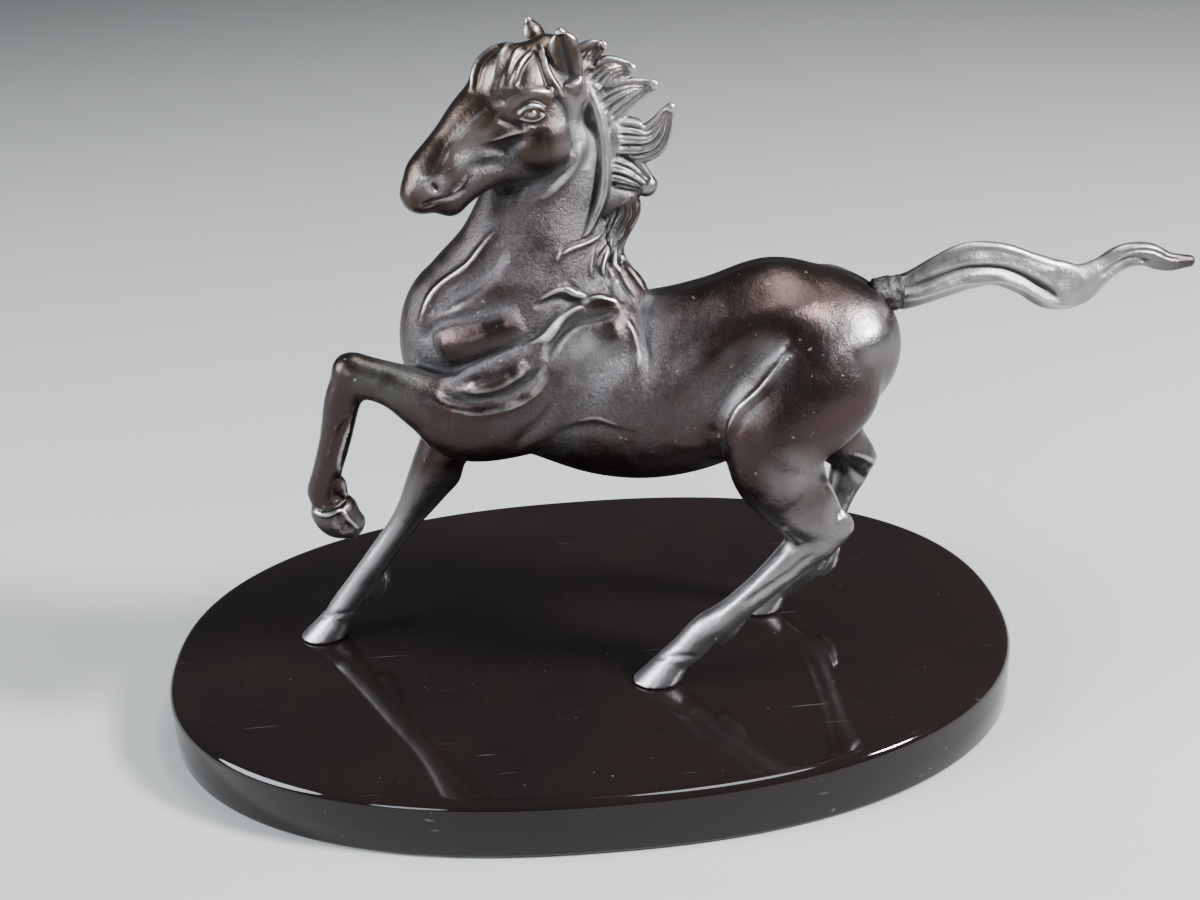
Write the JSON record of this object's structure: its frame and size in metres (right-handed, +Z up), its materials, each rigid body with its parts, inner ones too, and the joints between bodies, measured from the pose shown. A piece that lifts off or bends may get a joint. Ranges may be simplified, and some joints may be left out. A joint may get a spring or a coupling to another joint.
{
  "type": "horse statuette",
  "caption": "Patinated bronze horse stepping forward with one foreleg raised, flowing mane and tail, bolted to an oval black lacquered plinth.",
  "frame": {"origin": "middle of the felt face the statue rests on", "axes": "+Z up, +X from the head towards the tail along the plinth's length, +Y to the horse's off side"},
  "size_m": [0.3533, 0.214, 0.2402],
  "materials": {
    "bronze": "dark brown patinated bronze, satin, rubbed lighter on the high parts",
    "lacquer": "wood under gloss black lacquer",
    "felt": "thin wool felt",
    "steel": "zinc plated"
  },
  "bodies": {
    "root": {"body": "bronze", "neck_and_head": "bronze", "near_foreleg": "bronze", "far_foreleg": "bronze", "near_hind_leg": "bronze", "far_hind_leg": "bronze", "tail": "bronze", "tail_collar": "bronze", "front_core_plug": "bronze", "rear_core_plug": "bronze", "plinth": "lacquer", "base_felt": "felt", "near_hind_stud": "steel", "near_hind_washer": "steel", "near_hind_nut": "steel", "far_hind_stud": "steel", "far_hind_washer": "steel", "far_hind_nut": "steel", "far_fore_stud": "steel", "far_fore_washer": "steel", "far_fore_nut": "steel"}
  },
  "joints": []
}
